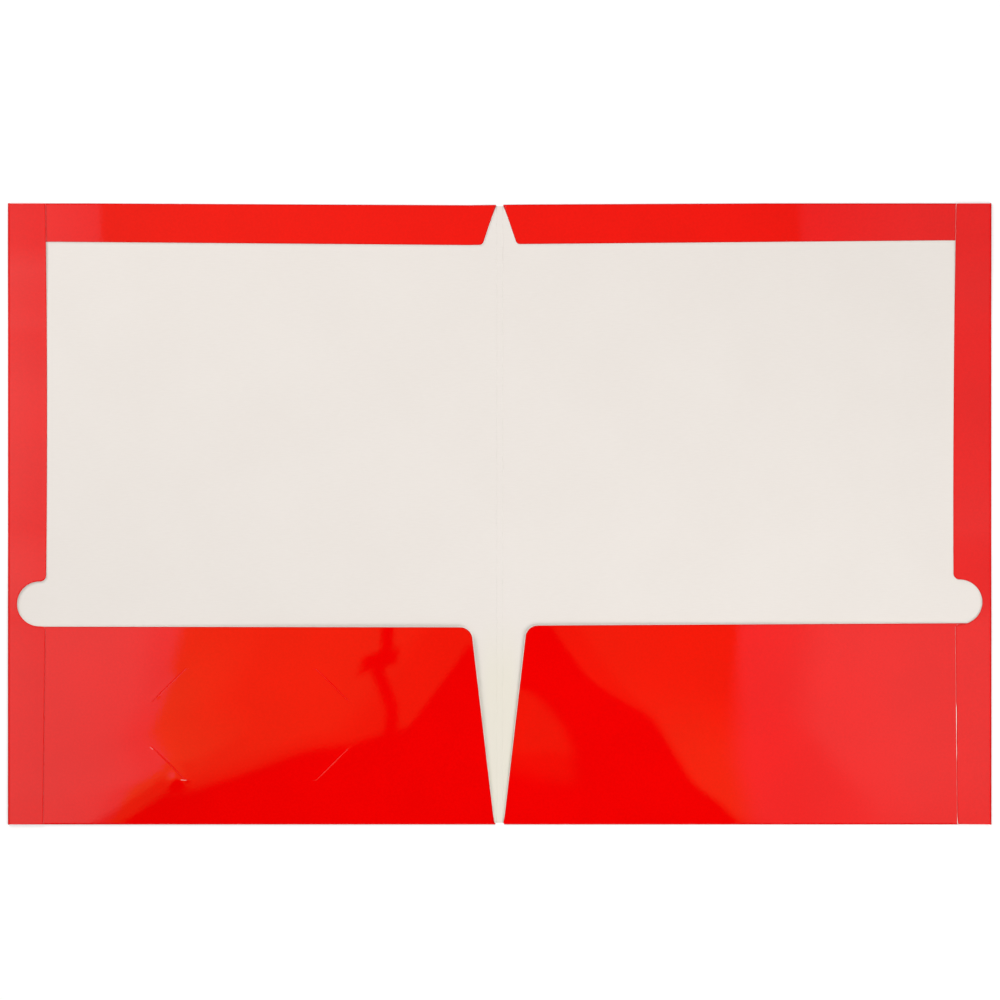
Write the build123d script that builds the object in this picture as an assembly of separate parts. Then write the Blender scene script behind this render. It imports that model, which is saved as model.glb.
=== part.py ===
# Two pocket folder, lying open with its inside up. Lengths are in millimetres.
# X runs across the open folder, Y up its height, and Z up from the table.
# The back half is on the +X side of the spine and the front half is its mirror image.
import os

from build123d import *

# The open folder and its board
folder_width = 482.6
folder_height = 304.8
board = 0.35
glue = 0.10
pocket_gap = 0.40

# The spine, whose two scores are round ridges that the covers turn on
score_radius = 0.20
score_clearance = 0.02
closed_clearance = 0.30

# The folded edges, each with a short flat leg on either side of its bend
fold_leg = 0.25
fold_clearance = 0.30

# The flap along the top
top_flap_depth = 19.3
top_flap_end_margin = 0.05
top_flap_lean = 6.5
top_flap_corner_radius = 2.4

# The flap along the outer side, with a half-round notch above the pocket
side_flap_top_width = 17.9
side_flap_notch_width = 18.5
side_flap_bottom_width = 16.9
side_flap_end_setback = 0.30
side_flap_corner_radius = 3.0
side_flap_end_radius = 1.5
pocket_tab_corner_radius = 2.0
notch_radius = 11.0
notch_margin = 4.2
step_run = 3.0

# The pocket
pocket_height = 98.0
pocket_end_margin = 0.40
pocket_lean = 11.3
pocket_corner_radius = 6.35

# The business card and the slits that hold its corners
card_width = 88.9
card_height = 50.8
card_tuck = 10.3
slit_width = 0.30
slit_side_reach = 4.75
slit_top_reach = 2.1
slit_hook = 2.5

# The glue lines under the flaps
glue_line_width = 10.0
glue_line_margin = 3.0

# Every cutting shape runs this far past what it cuts
cut_overrun = 1.0

# Heights of the undersides of the layers above the cover
flap_level = board + glue
corner_level = flap_level + board + glue
pocket_level = board + pocket_gap
tab_level = pocket_level + board + glue
stack_top = tab_level + board

# The spine is as wide as the two stacks that face each other when the folder is shut
spine_width = 2 * stack_top - 2 * score_radius + closed_clearance
score_offset = spine_width / 2


def bend_radius(level):
    """Outer radius of a fold that brings the board up to lie with its underside at this level."""
    return (level + board) / 2


# Edges of the cover, inside the strips taken up by its folds
half_width = folder_width / 2
half_height = folder_height / 2
side_strip = max(bend_radius(tab_level), bend_radius(corner_level)) + fold_leg
top_strip = bend_radius(flap_level) + fold_leg
bottom_strip = bend_radius(pocket_level) + fold_leg
cover_inner = score_offset + score_radius + score_clearance
cover_outer = half_width - side_strip
cover_top = half_height - top_strip
cover_bottom = bottom_strip - half_height
layer_outer = cover_outer - fold_clearance

# Lines that more than one piece ends on
top_flap_inner = cover_inner + top_flap_end_margin
top_flap_edge = half_height - top_flap_depth
pocket_inner = cover_inner + pocket_end_margin
pocket_top = pocket_height - half_height
notch_x = half_width - notch_margin - notch_radius
notch_y = pocket_top + notch_radius
notch_top = notch_y + notch_radius
side_top = half_height - side_flap_end_setback
side_bottom = side_flap_end_setback - half_height
step_top = top_flap_edge - fold_clearance
step_bottom = step_top - step_run
side_top_edge = half_width - side_flap_top_width
side_notch_edge = half_width - side_flap_notch_width
side_bottom_edge = half_width - side_flap_bottom_width

# Heights of the side flap's underside: down from the pocket to the cover, and up again over the top flap
flap_stations = [(notch_y, tab_level), (notch_top, flap_level), (step_bottom, flap_level),
                 (step_top, corner_level), (side_top, corner_level)]


def plate(outline, level, thickness):
    """Flat piece of this outline and thickness with its underside at this level."""
    return extrude(Pos(0, 0, level) * outline, thickness)


def polygon(*corners):
    """Flat outline through these corners."""
    return make_face(Polyline(*corners, close=True))


def block(x_low, x_high, y_low, y_high, level, thickness):
    """Rectangular plate between these edges."""
    outline = polygon((x_low, y_low), (x_high, y_low), (x_high, y_high), (x_low, y_high))
    return plate(outline, level, thickness)


def rounded(outline, corner, radius):
    """The outline with the corner nearest to this point rounded off."""
    return fillet(outline.vertices().sort_by_distance((*corner, 0))[0], radius)


def fold_section(level, strip):
    """U-shaped section of a folded edge, with x outwards from the cover's edge and y upwards."""
    outer = bend_radius(level)
    inner = outer - board
    start = strip - outer
    top = level + board
    return make_face([
        Line((0, 0), (start, 0)),
        CenterArc((start, outer), outer, -90, 90),
        CenterArc((start, outer), outer, 0, 90),
        Line((start, top), (0, top)),
        Line((0, top), (0, level)),
        Line((0, level), (start, level)),
        CenterArc((start, outer), inner, 90, -90),
        CenterArc((start, outer), inner, 0, -90),
        Line((start, board), (0, board)),
        Line((0, board), (0, 0)),
    ])


def cover():
    """Outer panel from the spine to the side fold, and from the bottom fold to the top fold."""
    return block(cover_inner, cover_outer, cover_bottom, cover_top, 0, board)


def top_fold():
    """Folded edge along the top, tight round the glue line."""
    start = Plane(origin=(top_flap_inner, cover_top, 0), x_dir=(0, 1, 0), z_dir=(1, 0, 0))
    return extrude(start * fold_section(flap_level, top_strip), layer_outer - top_flap_inner)


def top_flap():
    """Shallow flap along the top, whose inner end slants away from the spine."""
    free_corner = (top_flap_inner + top_flap_lean, top_flap_edge)
    outline = polygon((top_flap_inner, cover_top), free_corner, (layer_outer, top_flap_edge),
                      (layer_outer, cover_top))
    return plate(rounded(outline, free_corner, top_flap_corner_radius), flap_level, board)


def bottom_fold():
    """Folded edge along the bottom, round the pocket's gap."""
    start = Plane(origin=(layer_outer, cover_bottom, 0), x_dir=(0, -1, 0), z_dir=(-1, 0, 0))
    return extrude(start * fold_section(pocket_level, bottom_strip), layer_outer - pocket_inner)


def pocket():
    """Pocket panel, whose inner edge slants away from the spine up to a rounded corner."""
    mouth_corner = (pocket_inner + pocket_lean, pocket_top)
    outline = polygon((pocket_inner, cover_bottom), mouth_corner, (layer_outer, pocket_top),
                      (layer_outer, cover_bottom))
    return plate(rounded(outline, mouth_corner, pocket_corner_radius), pocket_level, board)


def side_fold():
    """Folded edge along the outer side, wide at the pocket and tight where the flap lies on the cover."""
    stations = [(side_bottom, tab_level)] + flap_stations
    return loft([Plane(origin=(cover_outer, y, 0), x_dir=(1, 0, 0), z_dir=(0, -1, 0))
                 * fold_section(level, side_strip) for y, level in stations], ruled=True)


def notched(outline):
    """The side flap's outline with the half-round notch taken out of its free edge."""
    mouth = side_flap_notch_width + cut_overrun
    outline -= Pos(notch_x, notch_y) * Circle(notch_radius)
    outline -= Pos(notch_x - mouth / 2, notch_y) * Rectangle(mouth, 2 * notch_radius)
    return outline


def side_flap():
    """Side flap above the middle of the notch, stepped over the top flap."""
    end_corner = (side_top_edge, side_top)
    outline = notched(polygon((cover_outer, notch_y), (side_notch_edge, notch_y), end_corner,
                              (cover_outer, side_top)))
    outline = rounded(outline, (side_notch_edge, notch_top), side_flap_corner_radius)
    outline = rounded(outline, end_corner, side_flap_end_radius)
    upper = [(y, level + board) for y, level in reversed(flap_stations)]
    strip = Plane.YZ * polygon(*flap_stations, *upper)
    return extrude(strip, half_width) & plate(outline, 0, stack_top + cut_overrun)


def pocket_tab():
    """Side flap below the middle of the notch, lying on the pocket."""
    end_corner = (side_bottom_edge, side_bottom)
    outline = notched(polygon((cover_outer, side_bottom), end_corner, (side_notch_edge, notch_y),
                              (cover_outer, notch_y)))
    outline = rounded(outline, (side_notch_edge, pocket_top), pocket_tab_corner_radius)
    outline = rounded(outline, end_corner, side_flap_end_radius)
    return plate(outline, tab_level, board)


def side_line(y_low, y_high, level):
    """Glue line along the side between these ends, in from the side fold by the margin."""
    outer = layer_outer - glue_line_margin
    lower = y_low + glue_line_margin
    upper = y_high - glue_line_margin
    return block(outer - glue_line_width, outer, lower, upper, level, glue)


def top_glue():
    """Glue line between the top flap and the cover."""
    inner = top_flap_inner + top_flap_lean
    outer = layer_outer - glue_line_margin
    upper = cover_top - glue_line_margin
    return block(inner, outer, upper - glue_line_width, upper, board, glue)


def card_slits():
    """Four slanted slits round the card's corners, each with a short hook at its long edge."""
    card_x = -(pocket_inner + half_width) / 2
    card_y = pocket_height / 2 - half_height
    slant_sum = card_width / 2 + card_height / 2 - card_tuck
    side_end = card_width / 2 + slit_side_reach
    top_end = card_height / 2 + slit_top_reach
    slits = Sketch()
    for x_sign in (1, -1):
        for y_sign in (1, -1):
            path = Polyline((x_sign * side_end, y_sign * (slant_sum - side_end)),
                            (x_sign * (slant_sum - top_end), y_sign * top_end),
                            (x_sign * (slant_sum - top_end - slit_hook), y_sign * top_end))
            slits += trace(path, line_width=slit_width)
    return plate(Pos(card_x, card_y) * slits, 0, stack_top)


def spine():
    """Strip between the two scores."""
    edge = score_offset - score_radius - score_clearance
    return block(-edge, edge, cover_bottom, cover_top, 0, board)


def score():
    """Round ridge of the back half's score, with its axis on the line that the cover turns about."""
    end = Plane(origin=(score_offset, cover_bottom, score_radius), z_dir=(0, 1, 0))
    return extrude(end * Circle(score_radius), cover_top - cover_bottom)


half_pieces = {
    "cover": cover(),
    "top_fold": top_fold(),
    "top_flap": top_flap(),
    "side_fold": side_fold(),
    "side_flap": side_flap(),
    "pocket_tab": pocket_tab(),
    "bottom_fold": bottom_fold(),
    "pocket": pocket(),
    "top_glue": top_glue(),
    "side_glue": side_line(notch_top, step_bottom, board),
    "corner_glue": side_line(top_flap_edge, cover_top, flap_level + board),
    "pocket_glue": side_line(cover_bottom, pocket_top, pocket_level + board),
    "score": score(),
}

pieces = {"spine": spine()}
for name, shape in half_pieces.items():
    pieces["back_" + name] = shape
    pieces["front_" + name] = mirror(shape, about=Plane.YZ)
pieces["front_pocket"] -= card_slits()

os.makedirs("parts", exist_ok=True)
for name, shape in pieces.items():
    export_step(shape, f"parts/{name}.step")
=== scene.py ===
import bmesh
import bpy
import numpy as np
from mathutils.geometry import delaunay_2d_cdt
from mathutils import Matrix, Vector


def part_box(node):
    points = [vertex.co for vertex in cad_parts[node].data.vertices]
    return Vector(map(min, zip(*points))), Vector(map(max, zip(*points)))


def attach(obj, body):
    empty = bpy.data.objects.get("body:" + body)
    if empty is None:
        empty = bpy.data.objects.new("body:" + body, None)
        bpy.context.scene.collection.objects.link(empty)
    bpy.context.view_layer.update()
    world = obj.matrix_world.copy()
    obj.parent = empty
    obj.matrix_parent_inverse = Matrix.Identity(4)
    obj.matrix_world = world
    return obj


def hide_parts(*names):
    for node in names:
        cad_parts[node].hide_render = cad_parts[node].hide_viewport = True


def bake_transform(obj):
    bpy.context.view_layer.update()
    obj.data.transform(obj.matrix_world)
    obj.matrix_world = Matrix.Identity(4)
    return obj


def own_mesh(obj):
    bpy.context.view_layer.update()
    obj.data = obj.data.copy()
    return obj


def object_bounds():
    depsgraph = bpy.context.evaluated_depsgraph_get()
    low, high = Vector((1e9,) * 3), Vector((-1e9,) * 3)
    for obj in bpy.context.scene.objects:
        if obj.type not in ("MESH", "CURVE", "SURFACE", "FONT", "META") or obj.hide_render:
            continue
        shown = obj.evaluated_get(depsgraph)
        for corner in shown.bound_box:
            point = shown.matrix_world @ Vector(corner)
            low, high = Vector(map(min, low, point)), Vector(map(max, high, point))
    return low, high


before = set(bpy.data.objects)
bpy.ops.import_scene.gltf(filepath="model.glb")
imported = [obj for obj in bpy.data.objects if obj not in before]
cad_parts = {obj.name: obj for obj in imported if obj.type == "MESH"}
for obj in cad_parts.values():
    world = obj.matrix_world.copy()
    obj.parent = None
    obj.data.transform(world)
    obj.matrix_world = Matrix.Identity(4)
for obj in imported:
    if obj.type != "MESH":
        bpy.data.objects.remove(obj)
cad_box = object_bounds()


# Cover panels: the two flat sides of the folder, die-cut from one sheet of solid bleached board.
# The outside is printed red and laminated with a gloss film, and the inside is left plain off-white.
# Each lies flat between its folded edges, and its thickness shows pale wherever it was cut.
mm = 0.001
sides = {"back": 1, "front": -1}
cover_low, cover_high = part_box("back_cover")
board = cover_high.z - cover_low.z
cover_cells = 24
above = np.array([0, 0, 1])
below = np.array([0, 0, -1])
merge_distance = 0.001 * mm
top_drop_places = np.array([-200, -15, 10, 130]) * mm
top_drop_sizes = np.array([0, -0.90, -0.55, 0]) * mm

film_red = (0.950, 0.0004, 0.0004)
film_red_deep = (0.800, 0.0003, 0.0003)
# Painted shade: the red is darkened towards this colour along cut edges and fold crests, by the edge share.
film_red_edge_shade = (0.46, 0.0010, 0.0030)
film_roughness = (0.009, 0.018)
# Painted shade: the red deepens from the first distance out from the spine to the folder's outer side.
painted_falloff_span = (0.10, 0.2413)
painted_falloff_depth = 0.62
film_sway = (13.0, 0.05 * mm)
film_peel = (850.0, 0.0011 * mm)
film_tooth = (2600.0, 0.0003 * mm)
smear_waves = 55.0
smear_span = (0.3, 0.7)
mottle_waves = (30.0, 900.0)
mottle_span = (0.7, 1.3)
mottle_shade = (0.62, 1.0)
film_ior = 1.5
crest_roughness = 0.45
crest_specular = 0.25
speck_waves = 330.0
speck_span = (0.66, 0.74)
speck_gather = 3.0
wear_pale = (0.90, 0.80, 0.76)
inside_pale = (0.862, 0.808, 0.761)
inside_deep = (0.842, 0.786, 0.738)
# Painted shade in the wedge between the pockets, below their mouths.
inside_wedge_shade = (0.835, 0.790, 0.690)
inside_roughness = 0.88
inside_specular = 0.25
wedge_shade_across = (0.014, 0.004)
wedge_shade_up = (-0.045, -0.085)
fibre_turns = (0.45, -0.9)
fibre_stretch = (1.0, 7.0, 1.0)
fibre_waves = 260.0
fibre_height = 0.012 * mm
fibre_share = 0.6
fibre_span = (0.34, 0.66)
cloud_waves = 22.0
core_pale = (0.93, 0.90, 0.86)
core_deep = (0.84, 0.80, 0.74)
core_roughness = 0.95
layer_stretch = (1.0, 1.0, 30.0)
layer_waves = 500.0


def place(tree, kind, feeds=None, **options):
    """Adds a node with these options, and feeds each input a value or another node's output."""
    added = tree.nodes.new(kind)
    for option, value in options.items():
        setattr(added, option, value)
    for socket, feed in (feeds or {}).items():
        if isinstance(feed, bpy.types.NodeSocket):
            tree.links.new(feed, added.inputs[socket])
        else:
            added.inputs[socket].default_value = feed
    return added


def calc(tree, operation, first, second=0.0):
    """Result of one sum on two numbers."""
    return place(tree, "ShaderNodeMath", {0: first, 1: second}, operation=operation).outputs[0]


def ramp(tree, value, start, end, low, high, kind="SMOOTHSTEP"):
    """Number that goes from low to high while the value goes from start to end."""
    feeds = {"Value": value, "From Min": start, "From Max": end, "To Min": low, "To Max": high}
    return place(tree, "ShaderNodeMapRange", feeds, interpolation_type=kind).outputs["Result"]


def grain(tree, vector, scale, detail=2.0):
    """Cloudy noise with this many waves to the metre."""
    feeds = {"Vector": vector, "Scale": scale, "Detail": detail}
    return place(tree, "ShaderNodeTexNoise", feeds).outputs["Fac"]


def tone(tree, share, *colours):
    """Colour that runs evenly through these colours while the share goes from 0 to 1."""
    node = place(tree, "ShaderNodeValToRGB", {"Fac": share})
    stops = node.color_ramp.elements
    for extra in range(len(colours) - len(stops)):
        stops.new((extra + 1) / (len(colours) - 1))
    for stop, colour in zip(stops, colours):
        stop.color = (*colour, 1)
    return node.outputs["Color"]


def overlay(tree, share, under, over):
    """Colour that goes from the under one to the over one with the share."""
    feeds = {0: share, 6: under if isinstance(under, bpy.types.NodeSocket) else (*under, 1),
             7: over if isinstance(over, bpy.types.NodeSocket) else (*over, 1)}
    return place(tree, "ShaderNodeMix", feeds, data_type="RGBA").outputs[2]


def effect_group(name, outputs):
    """Empty node group with a place as its input and these numbers as its outputs."""
    group = bpy.data.node_groups.new(name, "ShaderNodeTree")
    group.interface.new_socket("Vector", in_out="INPUT", socket_type="NodeSocketVector")
    for output in outputs:
        group.interface.new_socket(output, in_out="OUTPUT", socket_type="NodeSocketFloat")
    return group


# The film follows the board under it: long sway, a fine peel, and the tooth of the fibres. Each has its waves to
# the metre and its height.
film_relief = effect_group("film_relief", ("Height", "Roughness", "Shade"))
spot = film_relief.nodes.new("NodeGroupInput").outputs["Vector"]
sway, peel, tooth = [calc(film_relief, "MULTIPLY", grain(film_relief, spot, waves, detail=1.0), height)
                     for waves, height in (film_sway, film_peel, film_tooth)]
smears = ramp(film_relief, grain(film_relief, spot, smear_waves, detail=3.0), *smear_span, *film_roughness)
mottle = calc(film_relief, "ADD", grain(film_relief, spot, mottle_waves[0], detail=4.0),
              grain(film_relief, spot, mottle_waves[1], detail=2.0))
place(film_relief, "NodeGroupOutput", {
    "Height": calc(film_relief, "ADD", calc(film_relief, "ADD", sway, peel), tooth),
    "Roughness": smears,
    "Shade": ramp(film_relief, mottle, *mottle_span, *mottle_shade),
})

# The uncoated face shows crossed fibres and a soft cloudiness.
board_fibre = effect_group("board_fibre", ("Height", "Shade"))
spot = board_fibre.nodes.new("NodeGroupInput").outputs["Vector"]
fibres = []
for turn in fibre_turns:
    lie = place(board_fibre, "ShaderNodeMapping",
                {"Vector": spot, "Rotation": (0.0, 0.0, turn), "Scale": fibre_stretch})
    fibres.append(grain(board_fibre, lie.outputs["Vector"], fibre_waves, detail=3.0))
cross = calc(board_fibre, "MULTIPLY", calc(board_fibre, "ADD", *fibres), 1 / len(fibres))
cloud = grain(board_fibre, spot, cloud_waves, detail=3.0)
mixed = calc(board_fibre, "ADD", calc(board_fibre, "MULTIPLY", cross, fibre_share),
             calc(board_fibre, "MULTIPLY", cloud, 1 - fibre_share))
place(board_fibre, "NodeGroupOutput", {
    "Height": calc(board_fibre, "MULTIPLY", cross, fibre_height),
    "Shade": ramp(board_fibre, mixed, *fibre_span, 0.0, 1.0),
})


def new_finish(name):
    """Empty material with its node tree, its shader and the place on the piece."""
    material = bpy.data.materials.new(name)
    material.use_nodes = True
    tree = material.node_tree
    return material, tree, tree.nodes["Principled BSDF"], place(tree, "ShaderNodeTexCoord").outputs["Object"]


def set_bump(tree, shader, height):
    """Turns a height in metres into the shader's normal."""
    bump = place(tree, "ShaderNodeBump", {"Height": height, "Distance": 1.0})
    tree.links.new(bump.outputs["Normal"], shader.inputs["Normal"])


def film_finish(name, worn):
    """Red print under gloss film, with painted shade: darker along its cut edges and fold crests, and deeper
    towards the folder's outer sides. A worn one is rubbed through in specks at its crest.
    """
    material, tree, shader, spot = new_finish(name)
    relief = place(tree, "ShaderNodeGroup", {"Vector": spot}, node_tree=film_relief)
    across = place(tree, "ShaderNodeSeparateXYZ", {"Vector": spot}).outputs["X"]
    # Painted shade towards the outer sides, taken off the print's mottle share.
    outer = ramp(tree, calc(tree, "ABSOLUTE", across), *painted_falloff_span, 0.0, painted_falloff_depth)
    colour = tone(tree, calc(tree, "SUBTRACT", relief.outputs["Shade"], outer), film_red_deep, film_red)
    # Painted shade along cut edges and fold crests, taken from the edge share.
    edge = place(tree, "ShaderNodeAttribute", attribute_name="edge").outputs["Fac"]
    colour = overlay(tree, edge, colour, film_red_edge_shade)
    roughness = relief.outputs["Roughness"]
    if worn:
        specks = ramp(tree, grain(tree, spot, speck_waves, detail=4.0), *speck_span, 0.0, 1.0)
        rubbed = calc(tree, "MULTIPLY", specks, calc(tree, "POWER", edge, speck_gather))
        colour = overlay(tree, rubbed, colour, wear_pale)
        roughness = calc(tree, "ADD", roughness, calc(tree, "MULTIPLY", edge, crest_roughness))
        shader.inputs["Specular IOR Level"].default_value = crest_specular
    tree.links.new(colour, shader.inputs["Base Color"])
    tree.links.new(roughness, shader.inputs["Roughness"])
    shader.inputs["IOR"].default_value = film_ior
    set_bump(tree, shader, relief.outputs["Height"])
    return material


def inside_finish():
    """Plain uncoated board, with painted shade a little darker and yellower down the middle, in the wedge between
    the pockets.
    """
    material, tree, shader, spot = new_finish("plain_inside")
    fibre = place(tree, "ShaderNodeGroup", {"Vector": spot}, node_tree=board_fibre)
    parts = place(tree, "ShaderNodeSeparateXYZ", {"Vector": spot}).outputs
    middle = ramp(tree, calc(tree, "ABSOLUTE", parts["X"]), *wedge_shade_across, 0.0, 1.0)
    low = ramp(tree, parts["Y"], *wedge_shade_up, 0.0, 1.0)
    colour = tone(tree, fibre.outputs["Shade"], inside_deep, inside_pale)
    colour = overlay(tree, calc(tree, "MULTIPLY", middle, low), colour, inside_wedge_shade)
    tree.links.new(colour, shader.inputs["Base Color"])
    shader.inputs["Roughness"].default_value = inside_roughness
    shader.inputs["Specular IOR Level"].default_value = inside_specular
    set_bump(tree, shader, fibre.outputs["Height"])
    return material


def core_finish():
    """Cut edge of the board: pressed layers of pulp."""
    material, tree, shader, spot = new_finish("cut_core")
    layers = place(tree, "ShaderNodeMapping", {"Vector": spot, "Scale": layer_stretch})
    colour = tone(tree, grain(tree, layers.outputs["Vector"], layer_waves, detail=4.0), core_deep, core_pale)
    tree.links.new(colour, shader.inputs["Base Color"])
    shader.inputs["Roughness"].default_value = core_roughness
    fibre = place(tree, "ShaderNodeGroup", {"Vector": spot}, node_tree=board_fibre)
    set_bump(tree, shader, fibre.outputs["Height"])
    return material


# Every piece of board has its finishes in this order: outside, inside and cut edge.
panel_finishes = [film_finish("red_film", False), inside_finish(), core_finish()]
fold_finishes = [film_finish("red_film_fold", True), *panel_finishes[1:]]
outside_index, inside_index, core_index = range(3)


def grid_faces(rows, columns):
    """Four-cornered faces of a grid whose points are numbered row by row."""
    first = (np.arange(rows - 1)[:, None] * columns + np.arange(columns - 1)).ravel()
    return np.stack([first, first + 1, first + columns + 1, first + columns], axis=1)


def make_mesh(name, points, faces, heart, finishes, face_finish, edge=None):
    """Mesh of these points and faces, turned so that the faces look away from the heart point.
    The lines that bound it stay sharp, and the edge share of each point is kept for its finish."""
    corners = points[faces]
    facing = np.cross(corners[:, 1] - corners[:, 0], corners[:, 2] - corners[:, 0])
    if np.sum(facing * (corners.mean(axis=1) - heart)) < 0:
        faces = faces[:, ::-1]
    mesh = bpy.data.meshes.new(name)
    mesh.from_pydata(points, [], faces.tolist())
    mesh.polygons.foreach_set("material_index", face_finish.astype(np.int32))
    share = np.zeros(len(points)) if edge is None else edge
    mesh.attributes.new("edge", "FLOAT", "POINT").data.foreach_set("value", share.astype(np.float32))
    for finish in finishes:
        mesh.materials.append(finish)
    whole = bmesh.new()
    whole.from_mesh(mesh)
    bmesh.ops.remove_doubles(whole, verts=whole.verts, dist=merge_distance)
    whole.to_mesh(mesh)
    whole.free()
    edge_of_corner = np.zeros(len(mesh.loops), np.int32)
    mesh.loops.foreach_get("edge_index", edge_of_corner)
    single = np.bincount(edge_of_corner, minlength=len(mesh.edges)) == 1
    mesh.attributes.new("sharp_edge", "BOOLEAN", "EDGE").data.foreach_set("value", single)
    mesh.polygons.foreach_set("use_smooth", np.ones(len(mesh.polygons), bool))
    piece = bpy.data.objects.new(name, mesh)
    bpy.context.scene.collection.objects.link(piece)
    return piece


def thicken(piece):
    """Adds the board's thickness behind the red face, plain on its other side and pale at its cut edges."""
    sheet = piece.modifiers.new("board", "SOLIDIFY")
    sheet.thickness = board
    sheet.offset = -1
    sheet.material_offset = inside_index
    sheet.material_offset_rim = core_index
    return piece


def board_piece(name, half, points, faces, heart, finishes, rim=None, edge=None):
    """Piece of the board on one half of the folder. Points are given for the back half, and the front half has
    them mirrored. The rim is the faces where the cut shows its core."""
    hand = np.array([sides[half], 1, 1])
    face_finish = np.zeros(len(faces)) if rim is None else np.where(rim, core_index, outside_index)
    return thicken(make_mesh(name, points * hand, faces, heart * hand, finishes, face_finish, edge))


def flat_sheet(low, high, height, cells):
    """Flat grid of points between two corners at one height."""
    x, y = np.meshgrid(np.linspace(low[0], high[0], cells + 1), np.linspace(low[1], high[1], cells + 1))
    return np.stack([x, y, np.full_like(x, height)], axis=2).reshape(-1, 3), grid_faces(cells + 1, cells + 1)


def top_drop(x):
    """How far the top crease lies below square. It was folded a little askew, so it drops towards the spine."""
    return np.interp(x, top_drop_places, top_drop_sizes)


def drawn_down(points, half, low, high):
    """The points with the top crease's drop shared out from the low line to the high line."""
    share = np.clip((points[:, 1] - low) / (high - low), 0, 1)
    return points + np.stack([0 * share, share * top_drop(points[:, 0] * sides[half]), 0 * share], axis=1)


for half in sides:
    points, faces = flat_sheet(cover_low, cover_high, cover_low.z, cover_cells)
    points = drawn_down(points, half, cover_low.y, cover_high.y)
    cover = board_piece(half + "_cover_board", half, points, faces, above, panel_finishes)
    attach(cover, half + "_half")
    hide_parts(half + "_cover")


# Spine strip: the narrow band of the same board between the two scores, red outside and plain inside.
# It is never cut from the covers, and stands at a right angle to both of them when the folder is shut.
spine_low, spine_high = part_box("spine")
spine_cells = 12
points, faces = flat_sheet(spine_low, spine_high, spine_low.z, spine_cells)
points = drawn_down(points, "back", cover_low.y, cover_high.y)
spine = board_piece("spine_board", "back", points, faces, above, panel_finishes)
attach(spine, "spine_strip")
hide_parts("spine")


# Scores: two creases pressed into the board from the outside, which leave a low bead on the plain inside.
# The board stays whole there, so in the real folder the crease bends as the cover or the spine turns on it.
crease_bead = 0.085 * mm
crease_groove = 0.06 * mm
crease_points = 13
crease_rows = 61


def crease_section():
    """Closed section of a crease: a flat base with a cosine groove, and a top with a cosine bead."""
    across = np.linspace(-1, 1, crease_points)
    swell = (1 + np.cos(np.pi * across)) / 2
    x = np.linspace(spine_high.x, cover_low.x, crease_points)
    base = np.stack([x, crease_groove * swell], axis=1)
    top = np.stack([x, board + crease_bead * swell], axis=1)[::-1]
    return np.concatenate([base, top, base[:1]])


for half in sides:
    section = crease_section()
    y = np.linspace(spine_low.y, spine_high.y, crease_rows)
    points = np.stack(np.broadcast_arrays(section[:, 0], y[:, None], section[:, 1]), axis=2).reshape(-1, 3)
    points = drawn_down(points, half, cover_low.y, cover_high.y) * (sides[half], 1, 1)
    sleeve = grid_faces(crease_rows, len(section))
    strip = np.arange(crease_points - 1)
    cap = np.stack([strip, strip + 1, 2 * crease_points - 2 - strip, 2 * crease_points - 1 - strip], axis=1)
    faces = np.concatenate([sleeve, cap[:, ::-1], cap + (crease_rows - 1) * len(section)])
    inner = np.tile(np.arange(len(section) - 1) >= crease_points - 1, crease_rows - 1)
    face_finish = np.concatenate([np.where(inner, inside_index, outside_index), np.full(2 * len(cap), core_index)])
    crease = make_mesh(half + "_score_crease", points, faces, points.mean(axis=0), panel_finishes, face_finish)
    crease.data.polygons.foreach_set("use_smooth", face_finish != core_index)
    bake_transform(crease)
    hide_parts(half + "_score")


# Top edge and top flap: a shallow flap along the top, creased over and glued down onto the inside.
# Its inner end is cut on a slant away from the spine, with the free corner rounded by the die.
top_fold_low, top_fold_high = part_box("back_top_fold")
top_flap_low, top_flap_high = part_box("back_top_flap")
top_flap_lean = 6.5 * mm
top_flap_corner = 2.4 * mm
flap_edge_places = np.array([-216, -15, 10, 216]) * mm
flap_edge_drop = np.array([0.15, -1.45, -0.95, 0.85]) * mm
rim_width = 0.20 * mm
rim_limit = 0.5
rim_drop = 0.05 * mm
shade_width = 0.50 * mm
shade_limit = 0.75
line_step = 4.0 * mm
panel_spans = 9
arc_points = 15
fold_spans = 121


def cut_line(corners, radii, step):
    """Line through these corners. A run between corners is divided evenly, and an inner corner is an arc of its
    radius that touches both of its runs."""
    corners = np.array(corners, float)
    pieces = []
    start = corners[0]
    for before, corner, after, radius in zip(corners, corners[1:], corners[2:], radii):
        back = (before - corner) / np.linalg.norm(before - corner)
        on = (after - corner) / np.linalg.norm(after - corner)
        half_angle = np.arccos(back @ on) / 2
        first = corner + back * radius / np.tan(half_angle)
        last = corner + on * radius / np.tan(half_angle)
        centre = corner + (back + on) / np.linalg.norm(back + on) * radius / np.sin(half_angle)
        angle = np.arctan2(*(first - centre)[::-1])
        turn = (np.arctan2(*(last - centre)[::-1]) - angle + np.pi) % (2 * np.pi) - np.pi
        count = max(int(np.linalg.norm(first - start) / step), 1)
        pieces.append(start + (first - start) * np.linspace(0, 1, count, endpoint=False)[:, None])
        sweep = angle + turn * np.linspace(0, 1, arc_points, endpoint=False)
        pieces.append(centre + radius * np.stack([np.cos(sweep), np.sin(sweep)], axis=1))
        start = last
    count = max(int(np.linalg.norm(corners[-1] - start) / step), 1)
    pieces.append(start + (corners[-1] - start) * np.linspace(0, 1, count + 1)[:, None])
    line = np.concatenate(pieces)
    apart = np.linalg.norm(np.diff(line, axis=0), axis=1) > merge_distance
    return line[np.concatenate([[True], apart])]


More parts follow.
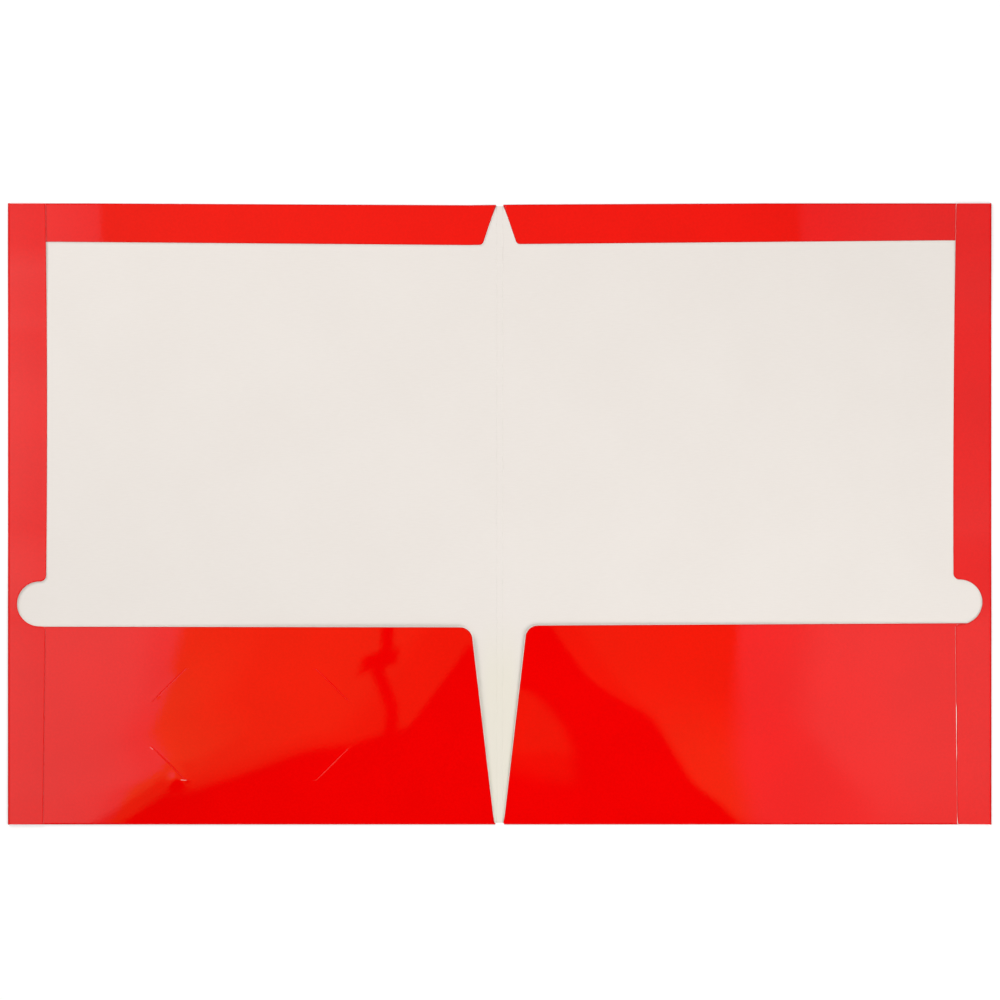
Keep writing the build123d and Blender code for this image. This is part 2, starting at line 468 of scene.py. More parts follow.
def rim_lines(cut_edge, fold_line, width):
    """The cut edge, the inner side of its crushed rim, and a line just inside that, each square to the edge. They
    take up no more than a share of the way to the fold."""
    run = fold_line - cut_edge
    length = np.linalg.norm(run, axis=1, keepdims=True)
    along = np.gradient(cut_edge, axis=0)
    inward = np.stack([-along[:, 1], along[:, 0]], axis=1) / np.linalg.norm(along, axis=1, keepdims=True)
    inward *= np.sign(np.sum(inward * run))
    inward[[0, -1]] = (run / np.maximum(length, merge_distance))[[0, -1]]
    reach = np.minimum(np.reshape(width, (-1, 1)), length * rim_limit)
    shade = np.minimum(np.reshape(width, (-1, 1)) + shade_width, length * shade_limit)
    return cut_edge, cut_edge + inward * reach, cut_edge + inward * shade


def panel_grid(cut_edge, fold_line, width, height):
    """Panel as rows from its cut edge to its fold line: over the rolled rim first, then straight on.
    The height is a function of x and y, less the rim's drop on the edge itself."""
    edge, rim, inner = rim_lines(cut_edge, fold_line, width)
    share = np.linspace(0, 1, panel_spans)[None, :, None]
    rest = inner[:, None] + (fold_line - inner)[:, None] * share
    flat = np.concatenate([edge[:, None], rim[:, None], rest], axis=1)
    z = height(flat[:, :, 0], flat[:, :, 1])
    z[:, 0] -= rim_drop
    rows, columns = z.shape
    faces = grid_faces(rows, columns)
    crushed = np.arange(len(faces)) % (columns - 1) == 0
    # Edge share for painted shade: full on the cut edge and the rim line, none further in.
    edge = np.broadcast_to(np.arange(columns) < 2, z.shape)
    return np.concatenate([flat, z[:, :, None]], axis=2).reshape(-1, 3), faces, crushed, edge.ravel()


def fold_section(radius, strip):
    """Outside of a folded edge as distance out from the panel and height above the table: a flat leg, a half
    round of this radius, and a leg back. The edge share is the cosine of the turn, and sets how much painted
    shade darkens the crest."""
    angle = np.linspace(-np.pi / 2, np.pi / 2, arc_points)
    radius = np.reshape(radius, (-1, 1))
    out = strip - radius + radius * np.cos(angle)
    up = radius + radius * np.sin(angle)
    leg = np.zeros_like(radius)
    edge = np.concatenate([[0], np.cos(angle), [0]])
    return (np.concatenate([leg, out, leg], axis=1), np.concatenate([leg, up, 2 * radius], axis=1),
            np.tile(edge, (len(radius), 1)))


def straight_fold(name, half, x_low, x_high, y_line, direction, strip, height):
    """Folded edge along a line of constant y, going out from it in this direction."""
    out, up, edge = fold_section(np.full(fold_spans, height / 2), strip)
    x = np.broadcast_to(np.linspace(x_low, x_high, fold_spans)[:, None], out.shape)
    points = np.stack([x, y_line + direction * out, up], axis=2).reshape(-1, 3)
    points = drawn_down(points, half, cover_low.y, cover_high.y)
    return board_piece(name, half, points, grid_faces(*out.shape), points.mean(axis=0), fold_finishes,
                       edge=edge.ravel())


for half in sides:
    edge = straight_fold(half + "_top_edge", half, top_fold_low.x, top_fold_high.x, cover_high.y, 1,
                         top_fold_high.y - cover_high.y, top_fold_high.z)
    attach(edge, half + "_half")
    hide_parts(half + "_top_fold")

    free_corner = (top_flap_low.x + top_flap_lean, top_flap_low.y)
    line = cut_line([(top_flap_high.x, top_flap_low.y), free_corner, (top_flap_low.x, top_flap_high.y)],
                    [top_flap_corner], line_step)
    hinge_line = np.stack([line[:, 0], np.full(len(line), top_flap_high.y)], axis=1)
    points, faces, rim, edge = panel_grid(line, hinge_line, rim_width,
                                          lambda x, y: np.full_like(x, top_flap_high.z))
    free = np.clip((top_flap_high.y - points[:, 1]) / (top_flap_high.y - top_flap_low.y), 0, 1)
    askew = np.interp(points[:, 0] * sides[half], flap_edge_places, flap_edge_drop)
    points[:, 1] += free * askew + (1 - free) * top_drop(points[:, 0] * sides[half])
    flap = board_piece(half + "_top_flap_board", half, points, faces, below, panel_finishes, rim, edge)
    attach(flap, half + "_half")
    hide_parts(half + "_top_flap")


# Bottom edge and pocket: a tall panel creased up from the bottom and held at its outer side, so its mouth and
# its inner edge stand open a little. The inner edge slants away from the spine up to a rounded corner.
# The front pocket has four knife slits for the corners of a business card, with their lips sprung apart.
bottom_fold_low, bottom_fold_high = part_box("back_bottom_fold")
pocket_low, pocket_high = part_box("back_pocket")
tab_low, tab_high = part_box("back_pocket_tab")
pocket_lean = 11.3 * mm
pocket_corner = 6.35 * mm
pocket_lift = {"back": 1.4 * mm, "front": 2.0 * mm}
pocket_cell = 1.6 * mm
line_clearance = pocket_cell / 3
base_points = 81
join_distance = 1e-6
card_width = 88.9 * mm
card_height = 50.8 * mm
card_tuck = 10.3 * mm
mouth_places = np.array([-230, -15, 15, 230]) * mm
mouth_shift = np.array([-0.65, -0.90, -0.05, 1.05]) * mm
inner_shift = {"back": -0.35 * mm, "front": 0.40 * mm}
slit_shift = np.array([0.35, 0.5]) * mm
slit_gap = 0.025 * mm
slit_side_reach = 4.75 * mm
slit_top_reach = 2.1 * mm
slit_hook = 2.5 * mm
slit_points = 9
corner_narrowing = 3
lip_roll = 0.015 * mm
lip_width = 0.10 * mm
lip_guard = 0.50 * mm
lip_lift = 0.006 * mm
lip_reach = 2.0 * mm
chipped_slit = 1
# The first oval is a painted highlight at the slit's end, and the second a real chip by its corner.
chip_and_highlight_places = np.array([(1.4, 0.7), (23.5, 0.75)]) * mm
chip_and_highlight_sizes = np.array([(1.1, 0.045), (1.5, 0.085)]) * mm
chip_and_highlight_turns = [0.0, -0.7]
chip_and_highlight_points = 14
swell_place = np.array([4.4, 0.5]) * mm
swell_lift = 0.024 * mm
swell_reach = 3.1 * mm


def pocket_rise(x, y, lift):
    """How far the pocket stands off its flat place: a smooth rise from the tab to the inner edge, times an even
    rise from the bottom fold to the mouth."""
    across = np.clip((tab_low.x - x) / (tab_low.x - pocket_low.x - pocket_lean), 0, 1)
    up = np.clip((y - pocket_low.y) / (pocket_high.y - pocket_low.y), 0, 1)
    return lift * across * across * (3 - 2 * across) * up


def within(points, outline):
    """Whether each point lies in a closed outline: a line out from it crosses that an odd number of times."""
    first, second = outline, np.roll(outline, -1, axis=0)
    x, y = points[:, :1], points[:, 1:]
    spans = (first[:, 1] > y) != (second[:, 1] > y)
    fall = np.where(second[:, 1] == first[:, 1], merge_distance, second[:, 1] - first[:, 1])
    crossing = first[:, 0] + (y - first[:, 1]) / fall * (second[:, 0] - first[:, 0])
    return np.sum(spans & (x < crossing), axis=1) % 2 == 1


def gap_to(points, line):
    """Distance from each point to the nearest point of a line."""
    return np.linalg.norm(points[:, None] - line, axis=2).min(axis=1)


def slit_lines():
    """Each slit as three points: its end at the card's short edge, its corner at the long edge, and its hook."""
    middle_y = cad_box[0].y + (pocket_high.y - cad_box[0].y) / 2
    centre = np.array([(pocket_low.x + cad_box[1].x) / 2, middle_y]) + slit_shift
    slant_sum = card_width / 2 + card_height / 2 - card_tuck
    side_end = card_width / 2 + slit_side_reach
    top_end = card_height / 2 + slit_top_reach
    path = np.array([(side_end, slant_sum - side_end), (slant_sum - top_end, top_end),
                     (slant_sum - top_end - slit_hook, top_end)])
    return [centre + path * (x_sign, y_sign) for x_sign in (1, -1) for y_sign in (1, -1)], centre


def slit_frame(path, centre):
    """Run of a slit from its end to its corner, and the direction square to it that points away from the card."""
    along = path[1] - path[0]
    square = np.array([-along[1], along[0]]) / np.linalg.norm(along)
    return along, square * np.sign(square @ (path[0] - centre))


def slit_outline(path, centre, gap):
    """Closed outline of a slit, as wide as the gap in the middle and pointed at both ends."""
    along, square = slit_frame(path, centre)
    share = np.linspace(0, 1, slit_points)[1:-1, None]
    run = path[0] + along * share
    open_by = square * gap / 2 * np.sqrt(4 * share * (1 - share))
    turn = square * gap / corner_narrowing
    ends = np.stack([path[0] - along / np.linalg.norm(along) * gap / 2,
                     path[2] + (path[2] - path[1]) * gap / slit_hook / 2])
    return np.concatenate([ends[:1], run + open_by, path[1:2] + turn, ends[1:], path[1:2] - turn,
                           (run - open_by)[::-1]])


def slit_lips(x, y):
    """Lift of the slits' outer lips: greatest at the middle of a slit, and fading away from it. The board is also
    swollen in a low round bump beside the chipped slit."""
    lift = np.zeros_like(x)
    paths, centre = slit_lines()
    for path in paths:
        along, square = slit_frame(path, centre)
        share = ((x - path[0, 0]) * along[0] + (y - path[0, 1]) * along[1]) / (along @ along)
        off = (x - path[0, 0]) * square[0] + (y - path[0, 1]) * square[1]
        bow = np.clip(4 * share * (1 - share), 0, 1)
        lift += np.where(off > 0, lip_lift * bow * np.exp(-(off / lip_reach) ** 2), 0)
    swell_x, swell_y = paths[chipped_slit][1] + swell_place
    return lift + swell_lift * np.exp(-((x - swell_x) ** 2 + (y - swell_y) ** 2) / swell_reach ** 2)


def chip_and_highlight_outlines(path, centre):
    """Long ovals near the ends of a slit where the pale core shows. By the corner the red face has flaked off its
    outer lip, and by the end at the card's short edge the pale oval is a painted highlight on the lip. Each is
    placed by its distance along the slit and off it, and turned from the slit's direction."""
    along, square = slit_frame(path, centre)
    axes = np.stack([along / np.linalg.norm(along), square])
    angle = np.linspace(0, 2 * np.pi, chip_and_highlight_points, endpoint=False)
    oval = np.stack([np.cos(angle), np.sin(angle)], axis=1)
    outlines = []
    for middle, size, turn in zip(chip_and_highlight_places, chip_and_highlight_sizes, chip_and_highlight_turns):
        turned = oval * size @ [(np.cos(turn), np.sin(turn)), (-np.sin(turn), np.cos(turn))]
        outlines.append(path[0] + (middle + turned) @ axes)
    return outlines


def slit_panel(cut_edge, fold_line, width, height):
    """Panel with the slits cut out of it. Points on an even grid, on the rim's lines and round the slits are
    joined into triangles, and those outside the outline or in a slit are left out."""
    edge, rim, inner = rim_lines(cut_edge, fold_line, width)
    base = np.stack([np.linspace(fold_line[-1, 0], fold_line[0, 0], base_points),
                     np.full(base_points, fold_line[0, 1])], axis=1)
    outline = np.concatenate([edge, base[1:]])
    paths, centre = slit_lines()
    slits = [slit_outline(path, centre, slit_gap) for path in paths]
    lips = [slit_outline(path, centre, slit_gap + 2 * reach) for path in paths for reach in (lip_width, lip_guard)]
    chips_and_highlights = chip_and_highlight_outlines(paths[chipped_slit], centre)
    x, y = np.meshgrid(np.arange(fold_line[-1, 0], fold_line[0, 0], pocket_cell),
                       np.arange(fold_line[0, 1], edge[0, 1], pocket_cell))
    inside = np.stack([x.ravel(), y.ravel()], axis=1)
    clear = gap_to(inside, np.concatenate([outline, *lips])) > line_clearance
    inside = inside[within(inside, outline) & clear]
    loops = [outline, *slits, *lips, *chips_and_highlights]
    starts = np.cumsum([0] + [len(loop) for loop in loops])
    links = [np.stack([np.arange(len(loop)), np.roll(np.arange(len(loop)), -1)], axis=1) + start
             for loop, start in zip(loops, starts)]
    for line in (rim, inner):
        order = np.arange(len(line)) + sum(len(loop) for loop in loops)
        links.append(np.stack([order[:-1], order[1:]], axis=1))
        loops.append(line)
    flat = np.concatenate([*loops, inside]) / mm
    joined = delaunay_2d_cdt(flat.tolist(), np.concatenate(links).tolist(), [], 0, join_distance)
    flat = np.array([(*point,) for point in joined[0]]) * mm
    faces = np.array(joined[2])
    middles = flat[faces].mean(axis=1)
    kept = within(middles, outline)
    for slit in slits:
        kept &= ~within(middles, slit)
    faces = faces[kept]
    on_edge = gap_to(flat, edge) < merge_distance
    on_slit = gap_to(flat, np.concatenate(slits)) < merge_distance
    # Points on the cut edge and the rim line get painted shade.
    shaded = gap_to(flat, np.concatenate([edge, rim])) < merge_distance
    middles = flat[faces].mean(axis=1)
    crushed = np.any([within(middles, area) for area in (np.concatenate([edge, rim[::-1]]), *chips_and_highlights)], axis=0)
    z = height(flat[:, 0], flat[:, 1]) - rim_drop * on_edge - lip_roll * on_slit
    return np.concatenate([flat, z[:, None]], axis=1), faces, crushed, shaded


for half in sides:
    edge = straight_fold(half + "_bottom_edge", half, bottom_fold_low.x, bottom_fold_high.x, cover_low.y, -1,
                         cover_low.y - bottom_fold_low.y, bottom_fold_high.z)
    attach(edge, half + "_half")
    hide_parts(half + "_bottom_fold")

    inner_x = pocket_low.x + inner_shift[half]
    mouth_corner = (inner_x + pocket_lean, pocket_high.y)
    line = cut_line([(pocket_high.x, pocket_high.y), mouth_corner, (inner_x, pocket_low.y)], [pocket_corner],
                    line_step)
    hinge_line = np.stack([line[:, 0], np.full(len(line), pocket_low.y)], axis=1)
    if half == "back":
        points, faces, rim, edge = panel_grid(line, hinge_line, rim_width, lambda x, y: pocket_high.z
                                              + pocket_rise(x, y, pocket_lift["back"]))
    else:
        points, faces, rim, edge = slit_panel(line, hinge_line, rim_width, lambda x, y: pocket_high.z
                                              + pocket_rise(x, y, pocket_lift["front"]) + slit_lips(x, y))
    up = np.clip((points[:, 1] - pocket_low.y) / (pocket_high.y - pocket_low.y), 0, 1)
    points[:, 1] += up * np.interp(points[:, 0] * sides[half], mouth_places, mouth_shift)
    pocket = board_piece(half + "_pocket_board", half, points, faces, below, panel_finishes, rim, edge)
    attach(pocket, half + "_half")
    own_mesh(pocket)
    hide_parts(half + "_pocket")


# Side edge, side flap and pocket tab: one long flap creased in along the outer side and glued down last.
# It lies on the cover, steps up over the top flap, and its lower end lies on the pocket and holds it.
# A half-round notch in its free edge leaves the pocket's mouth clear.
side_fold_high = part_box("back_side_fold")[1]
side_flap_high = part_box("back_side_flap")[1]
glue_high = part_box("back_side_glue")[1]
notch_radius = 11.0 * mm
notch_margin = 4.6 * mm
notch_shift = {"back": 0.2 * mm, "front": -0.75 * mm}
flap_corner = 3.0 * mm
tab_corner = 2.0 * mm
flap_end_corner = 0.8 * mm
flap_end_gap = 0.1 * mm
flap_widths = {"back": np.array([18.75, 18.6, 17.5]) * mm, "front": np.array([18.8, 19.2, 18.55]) * mm}
tab_widths = {"back": np.array([16.9, 17.9]) * mm, "front": np.array([17.4, 18.5]) * mm}
step_run = 45.0 * mm
notch_run = 25.0 * mm
step_clearance = 0.3 * mm
side_step = 0.8 * mm
flap_rim = {"back": 0.04 * mm, "front": 0.02 * mm}
tab_wear_places = np.array([-151.2, -148.3, -146.3, -121.8, -117.9, -110.0, -101.2, -95.3, -92.8]) * mm
tab_wear = {"back": np.array([0.25, 0.06, 0.03, 0.04, 0.18, 0.15, 0.25, 0.30, 0.04]) * mm,
            "front": 0 * tab_wear_places}
thinnest_rim = 0.01 * mm
# How much of the painted edge shade the side flaps' cut edges get, on each half.
side_shade = {"back": 0.5, "front": 0.0}
side_press = 0.10 * mm
rim_flare = {"back": 0.14 * mm, "front": 0.0}
rim_flare_length = 1.2 * mm
half_width = side_fold_high.x
side_low = cad_box[0].y + flap_end_gap
side_high = cad_box[1].y - flap_end_gap
notch_side = half_width - notch_margin
step_top = top_flap_low.y - step_clearance
step_bottom = step_top - step_run
flap_top_height = glue_high.z + board


def smooth(value, start, end):
    """Share that goes from 0 to 1 with level ends while the value goes from start to end."""
    share = np.clip((value - start) / (end - start), 0, 1)
    return share * share * (3 - 2 * share)


def flap_height(y, notch_y):
    """Height of the flap's red face: level on the pocket, down to the cover past the notch, and up over the top
    flap, each by a smooth step."""
    down = (flap_top_height - tab_high.z) * smooth(y, notch_y - notch_radius, notch_y + notch_radius + notch_run)
    return tab_high.z + down + (side_flap_high.z - flap_top_height) * smooth(y, step_bottom, step_top)


def rising(line):
    """The line without the points that come no higher than the one before."""
    return line[np.concatenate([[True], np.diff(line[:, 1]) > merge_distance])]


def side_panel(name, half, line, width, notch_y):
    """Panel of the side flap from its cut line straight across to the side crease. It is pressed down evenly from
    the crease to the free edge, where it closes the gap that the glue leaves."""
    hinge_line = np.stack([np.full(len(line), cover_high.x), line[:, 1]], axis=1)
    points, faces, rim, edge = panel_grid(line, hinge_line, width, lambda x, y: flap_height(y, notch_y))
    points[:, 2] -= side_press * np.clip((cover_high.x - points[:, 0]) / (cover_high.x - tab_low.x), 0, 1)
    return board_piece(name, half, points, faces, below, panel_finishes, rim, edge * side_shade[half])


for half in sides:
    notch_y = pocket_high.y + notch_radius + notch_shift[half]
    notch_top = notch_y + notch_radius
    notch_low = notch_y - notch_radius
    low_x, mouth_x = half_width - tab_widths[half]
    notch_x, middle_x, high_x = half_width - flap_widths[half]

    y = np.linspace(cad_box[0].y, cad_box[1].y, int((cad_box[1].y - cad_box[0].y) / side_step))
    out, up, edge = fold_section(flap_height(y, notch_y) / 2, half_width - cover_high.x)
    points = np.stack([cover_high.x + out, np.broadcast_to(y[:, None], out.shape), up], axis=2).reshape(-1, 3)
    side_edge = board_piece(half + "_side_edge", half, points, grid_faces(*out.shape), points.mean(axis=0),
                            fold_finishes, edge=edge.ravel())
    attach(side_edge, half + "_half")
    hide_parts(half + "_side_fold")

    line = rising(cut_line([(notch_side, notch_y), (notch_side, notch_top), (notch_x, notch_top),
                            (high_x, side_high), (cover_high.x, side_high)],
                           [notch_radius, flap_corner, flap_end_corner], side_step))
    bow = middle_x - (notch_x + high_x) / 2
    share = np.clip((line[:, 1] - notch_top) / (side_high - notch_top), 0, 1)
    line[:, 0] += bow * 4 * share * (1 - share)
    width = flap_rim[half] + rim_flare[half] * np.exp((line[:, 1] - side_high) / rim_flare_length)
    width = np.maximum(width * np.exp(np.minimum(high_x - line[:, 0], 0) / rim_flare_length), thinnest_rim)
    flap = side_panel(half + "_side_flap_board", half, line, width, notch_y)
    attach(flap, half + "_half")
    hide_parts(half + "_side_flap")

    line = rising(cut_line([(cover_high.x, side_low), (low_x, side_low), (mouth_x, notch_low),
                            (notch_side, notch_low), (notch_side, notch_y)],
                           [flap_end_corner, tab_corner, notch_radius], side_step))
    width = np.interp(line[:, 1], tab_wear_places, tab_wear[half])
    width = np.maximum(width * np.exp(np.minimum(low_x - line[:, 0], 0) / rim_flare_length), thinnest_rim)
    tab = side_panel(half + "_pocket_tab_board", half, line, width, notch_y)
    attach(tab, half + "_half")
    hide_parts(half + "_pocket_tab")


# Glue lines: thin beads of white glue pressed flat between the flaps and what they lie on.
# They dry a little yellow and clear at the edges, and show only when a layer is looked at from its side.
glue_clear = (0.78, 0.72, 0.55)
glue_white = (0.90, 0.88, 0.80)
glue_roughness = (0.28, 0.5)
glue_stretch = (1.0, 0.25, 1.0)
glue_waves = 240.0
glue_span = (0.3, 0.7)
glue_height = 0.02 * mm
glue_finish, tree, shader, spot = new_finish("dried_glue")
streaks = place(tree, "ShaderNodeMapping", {"Vector": spot, "Scale": glue_stretch})
smear = grain(tree, streaks.outputs["Vector"], glue_waves, detail=4.0)
colour = tone(tree, ramp(tree, smear, *glue_span, 0.0, 1.0), glue_clear, glue_white)
tree.links.new(colour, shader.inputs["Base Color"])
tree.links.new(ramp(tree, smear, *glue_span, *glue_roughness), shader.inputs["Roughness"])
set_bump(tree, shader, calc(tree, "MULTIPLY", smear, glue_height))
for name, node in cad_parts.items():
    if name.endswith("glue"):
        for slot in node.material_slots:
            slot.material = glue_finish


# Table: a plain white sweep that the folder lies on. It takes the folder's soft shadow, and is lifted to
# white for the camera.
table_half = 4.0
table_drop = 0.05 * mm
table_cells = 8
table_white = (0.82, 0.82, 0.82)
table_shade = 0.99
table_waves = 300.0
table_glow = 0.30
points, faces = flat_sheet((-table_half, -table_half), (table_half, table_half), -table_drop, table_cells)
table_finish, tree, shader, spot = new_finish("table_white")
ray = place(tree, "ShaderNodeLightPath").outputs
paper = grain(tree, spot, table_waves, detail=3.0)
colour = tone(tree, paper, tuple(table_shade * part for part in table_white), table_white)
tree.links.new(colour, shader.inputs["Base Color"])
shader.inputs["Roughness"].default_value = 1.0
shader.inputs["Specular IOR Level"].default_value = 0.0
shader.inputs["Emission Color"].default_value = (1, 1, 1, 1)
seen = calc(tree, "MAXIMUM", ray["Is Camera Ray"], ray["Is Glossy Ray"])
tree.links.new(calc(tree, "MULTIPLY", seen, table_glow), shader.inputs["Emission Strength"])
table = make_mesh("table", points, faces, below, [table_finish], np.zeros(len(faces)))


# Studio light: a pale room, with two soft lamps that light opposite corners a little more.
# Straight above, where the gloss mirrors it, the room is dim, with a bright panel on either side and a dark
# shape where the camera and its stand are. Slopes are measured from straight up, across and along the folder.
room_level = 0.44
room_horizon = 0.33
room_turn = 0.4
mirror_reach = (0.185, 0.16)
mirror_fade = 1.5
lowest_rise = 0.02
edge_blur = 0.0008
soft_blur = 0.006

dim_across = [(-0.13, 0.44), (0.0, 0.29), (0.09, 0.26)]
dim_right = (0.03, 0.09, 0.0, 0.12)
dim_right_low = (-0.075, -0.108, 0.0, 2.0)
dim_low_tint = (1.0, 1.0, 0.28)
dim_high_tint = (1.0, 1.0, 0.60)
dim_tint_turn = (-0.05, 0.06, 0.0, 1.0)

panel_tint = (1.0, 1.0, 0.93)
left_edge = -0.1287
left_bend = [(-0.1115, -0.0023), (-0.1065, 0.0025), (-0.0985, 0.0050), (-0.0955, 0.0125), (-0.094, 0.0125),
             (-0.082, 0.0035), (-0.070, 0.0035), (-0.045, -0.0023), (0.0, 0.0), (0.03, 0.0), (0.05, -0.0019)]
left_across = [(-0.158, 1.0), (left_edge, 0.66)]
left_low_across = [(-0.158, 0.04), (-0.144, 0.13), (-0.1365, 0.14), (-0.1325, 0.02)]
left_low = (-0.03, -0.05, 0.0, 1.0)
left_along = [(-0.10, 1.12), (-0.0164, 1.36), (0.035, 1.7), (0.0785, 1.26), (0.10, 1.20)]
left_glow = [(-0.075, 0.30), (-0.060, 0.13), (-0.050, 0.13), (0.0, 0.0)]
left_glow_width = 0.022
right_edge = 0.0985
right_bend = [(-0.1015, -0.0150), (-0.055, 0.0)]
right_blur = [(-0.085, 0.005), (-0.06, edge_blur)]
right_across = [(right_edge, 0.70), (0.135, 1.0)]
right_along = [(-0.05, 0.78), (0.095, 0.60)]
second_edge = 0.1135
second_bend = [(-0.102, 0.0075), (-0.082, -0.0040), (-0.080, -0.0040), (-0.052, 0.0054)]
second_start = (0.03, -0.05, 0.0, 0.24)
second_end = (-0.12, -0.085, 0.2, 1.0)

dark_level = 0.005
camera_top = (0.0179, -0.0636)
camera_right = [(-0.119, 0.0055), (-0.1156, 0.0055), (-0.111, 0.0015), (-0.096, 0.0080), (-0.0935, 0.0078),
                (-0.085, -0.0030)]
camera_right_start = 0.006
camera_left = (-0.007, -0.0145, 0.0, 0.0043)
camera_haze = (0.5, 1.0, 0.32, 0.0)
haze_width = [(-0.01, 0.044), (0.02, 0.018), (0.048, 0.018), (0.062, 0.003)]
shelf_line = [(-0.136, -0.1157), (-0.126, -0.1112), (-0.119, -0.1073), (-0.1125, -0.1034), (-0.103, -0.1068),
              (-0.0715, -0.1102), (-0.058, -0.1137), (-0.036, -0.1141), (0.0, -0.1204), (0.08, -0.1224)]
shelf_fade = [(-0.0006, 1.0), (0.0006, 0.42), (0.0058, 0.0)]
ledge_fade = [(0.0060, 0.56), (0.0075, 0.0)]
ledge_end = (-0.106, -0.112, 0.0, 1.0)
stand_line = [(-0.1141, -0.0438), (-0.1056, -0.0461), (-0.0927, -0.0559), (-0.0846, -0.0536), (-0.080, -0.0549)]
stand_width = (0.0042, 0.0018)
stand_top = (-0.05, -0.07, 0.0, 1.0)
stand_box = (-0.0555, -0.0892)
stand_box_size = (0.0085, 0.0031)
stand_box_blur = (1.2, 0.75)
glint_right = [(-0.1104, 0.0266), (-0.1029, 0.0231), (-0.0955, 0.0158), (-0.0929, 0.0115), (-0.0910, 0.0040)]
glint_left = 0.0
glint_along = [(-0.1128, 0.33), (-0.1102, 0.70)]
glint_foot = [(0.0069, -0.1178), (0.0267, -0.1213)]
glint_blur = 0.004

world = bpy.data.worlds.new("studio")
bpy.context.scene.world = world
world.use_nodes = True
tree = world.node_tree
looking = place(tree, "ShaderNodeTexCoord").outputs["Generated"]
way = place(tree, "ShaderNodeSeparateXYZ", {"Vector": looking}).outputs
rise = calc(tree, "MAXIMUM", way["Z"], lowest_rise)
slope_x = calc(tree, "DIVIDE", way["X"], rise)
slope_y = calc(tree, "DIVIDE", way["Y"], rise)


def bent(value, stations):
    """Number that runs straight from station to station and is level outside them. A station is a value and the
    number there."""
    total = stations[0][1]
    for (start, low), (end, high) in zip(stations, stations[1:]):
        total = calc(tree, "ADD", total, ramp(tree, value, start, end, 0.0, high - low, "LINEAR"))
    return total


def less(first, second):
    """First number less the second."""
    return calc(tree, "SUBTRACT", first, second)


def past(value, edge, blur):
    """Share that goes from 0 to 1 while the value passes the edge, over twice the blur."""
    return ramp(tree, less(value, edge), -blur, blur, 0.0, 1.0)


def times(*factors):
    """Product of these numbers."""
    total = factors[0]
    for factor in factors[1:]:
        total = calc(tree, "MULTIPLY", total, factor)
    return total


def apart(first, second):
    """Distance between two numbers."""
    return calc(tree, "ABSOLUTE", less(first, second))


def rest_of(share):
    """What a share leaves of the whole."""
    return less(1.0, share)


def tinted(colour, level):
    """A colour times a number."""
    feeds = {"Vector": colour, "Scale": level}
    return place(tree, "ShaderNodeVectorMath", feeds, operation="SCALE").outputs["Vector"]


# The two bright panels. The right one has a second, brighter part, and the left one a glow along its edge.
left_line = less(slope_x, bent(slope_y, left_bend))
left_share = rest_of(past(left_line, left_edge, edge_blur))
left_level = calc(tree, "ADD", bent(left_line, left_across),
                  times(bent(left_line, left_low_across), ramp(tree, slope_y, *left_low)))
left_level = times(left_level, bent(slope_y, left_along))
glow = times(ramp(tree, left_line, left_edge, left_edge + left_glow_width, 1.0, 0.0, "LINEAR"),
             bent(slope_y, left_glow))
right_line = less(slope_x, bent(slope_y, right_bend))
from_right = less(right_line, right_edge)
right_share = past(calc(tree, "DIVIDE", from_right, bent(slope_y, right_blur)), 0.0, 1.0)
second_line = less(slope_x, bent(slope_y, second_bend))
second_level = times(ramp(tree, slope_y, *second_start), ramp(tree, slope_y, *second_end),
                     past(second_line, second_edge, soft_blur))
right_level = calc(tree, "ADD", times(bent(slope_x, right_across), bent(slope_y, right_along)), second_level)
bright = calc(tree, "ADD", times(left_share, left_level), times(right_share, right_level))
dim = calc(tree, "ADD", bent(slope_x, dim_across),
           times(ramp(tree, slope_x, *dim_right), ramp(tree, slope_y, *dim_right_low)))
dim = times(calc(tree, "ADD", dim, glow), rest_of(calc(tree, "MAXIMUM", left_share, right_share)))

# The dark shape: the camera as a tent with a glint in it and a haze round it, its stand with a box on it, and a
# shelf below them with a dim ledge at its left end.
over_camera = calc(tree, "ADD", less(slope_y, camera_top[1]), apart(slope_x, camera_top[0]))
on_right = ramp(tree, slope_x, camera_top[0], camera_top[0] + camera_right_start, 0.0, 1.0)
over_camera = less(over_camera, times(on_right, bent(slope_y, camera_right)))
over_camera = less(over_camera, ramp(tree, slope_x, *camera_left))
haze = ramp(tree, calc(tree, "DIVIDE", over_camera, bent(slope_x, haze_width)), *camera_haze)
glint = times(bent(slope_y, glint_along), rest_of(past(slope_x, bent(slope_y, glint_right), glint_blur)),
              past(slope_x, glint_left, glint_blur), past(slope_y, bent(slope_x, glint_foot), glint_blur))
head = less(rest_of(past(over_camera, 0.0, edge_blur)), glint)
over_shelf = less(slope_y, bent(slope_x, shelf_line))
shelf = calc(tree, "MAXIMUM", bent(over_shelf, shelf_fade),
             times(bent(over_shelf, ledge_fade), ramp(tree, slope_x, *ledge_end)))
from_stand = apart(slope_x, bent(slope_y, stand_line))
stand = times(ramp(tree, from_stand, *stand_width, 0.0, 1.0), ramp(tree, slope_y, *stand_top))
from_box = calc(tree, "MAXIMUM", calc(tree, "DIVIDE", apart(slope_x, stand_box[0]), stand_box_size[0]),
                calc(tree, "DIVIDE", apart(slope_y, stand_box[1]), stand_box_size[1]))
box = ramp(tree, from_box, *stand_box_blur, 0.0, 1.0)
dark = haze
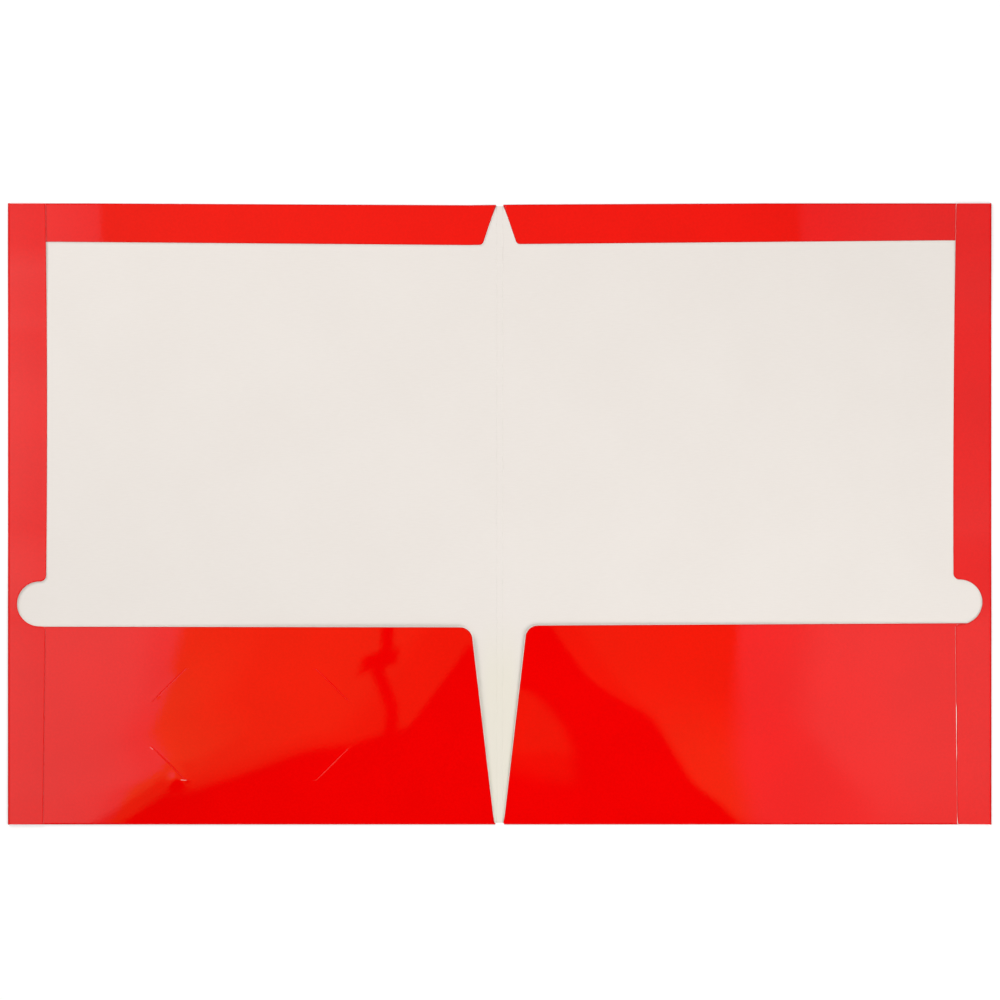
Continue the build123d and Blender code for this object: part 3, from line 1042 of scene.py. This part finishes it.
for shape in (head, shelf, stand, box):
    dark = calc(tree, "MAXIMUM", dark, shape)
lit = calc(tree, "MAXIMUM", rest_of(dark), dark_level)

dim_tint = overlay(tree, ramp(tree, slope_y, *dim_tint_turn), dim_low_tint, dim_high_tint)
both = {0: tinted(dim_tint, times(dim, lit)), 1: tinted(panel_tint, times(bright, lit))}
mirrored = place(tree, "ShaderNodeVectorMath", both, operation="ADD").outputs["Vector"]
room = tinted((1, 1, 1), ramp(tree, way["Z"], 0.0, room_turn, room_horizon, room_level))
reach_x = calc(tree, "DIVIDE", calc(tree, "ABSOLUTE", slope_x), mirror_reach[0])
reach_y = calc(tree, "DIVIDE", calc(tree, "ABSOLUTE", slope_y), mirror_reach[1])
outside = ramp(tree, calc(tree, "MAXIMUM", reach_x, reach_y), 1.0, mirror_fade, 0.0, 1.0)
light = overlay(tree, outside, mirrored, room)
camera_ray = place(tree, "ShaderNodeLightPath").outputs["Is Camera Ray"]
tree.links.new(overlay(tree, camera_ray, light, (1, 1, 1)), tree.nodes["Background"].inputs["Color"])

lamp_size = 0.6
lamps = {"lamp_left": ((-0.61, 0.59, 0.70), 4.7), "lamp_right": ((0.30, -0.26, 0.70), 2.9)}
for name, (spot, power) in lamps.items():
    lamp = bpy.data.lights.new(name, "AREA")
    lamp.size = lamp_size
    lamp.energy = power
    holder = bpy.data.objects.new(name, lamp)
    holder.location = spot
    holder.rotation_euler = holder.location.to_track_quat("Z", "Y").to_euler()
    holder.visible_camera = False
    holder.visible_glossy = False
    bpy.context.scene.collection.objects.link(holder)


# Camera: straight above the open folder, far enough back that its thickness hardly shows.
camera_height = 1.5
camera_place = (0.15 * mm, 6.83 * mm)
picture_width = 490.9 * mm
lens = bpy.data.cameras.new("camera")
lens.lens = lens.sensor_width * camera_height / picture_width
camera = bpy.data.objects.new("camera", lens)
camera.location = (*camera_place, camera_height)
bpy.context.scene.collection.objects.link(camera)
bpy.context.scene.camera = camera
bpy.context.scene.view_settings.view_transform = "Standard"
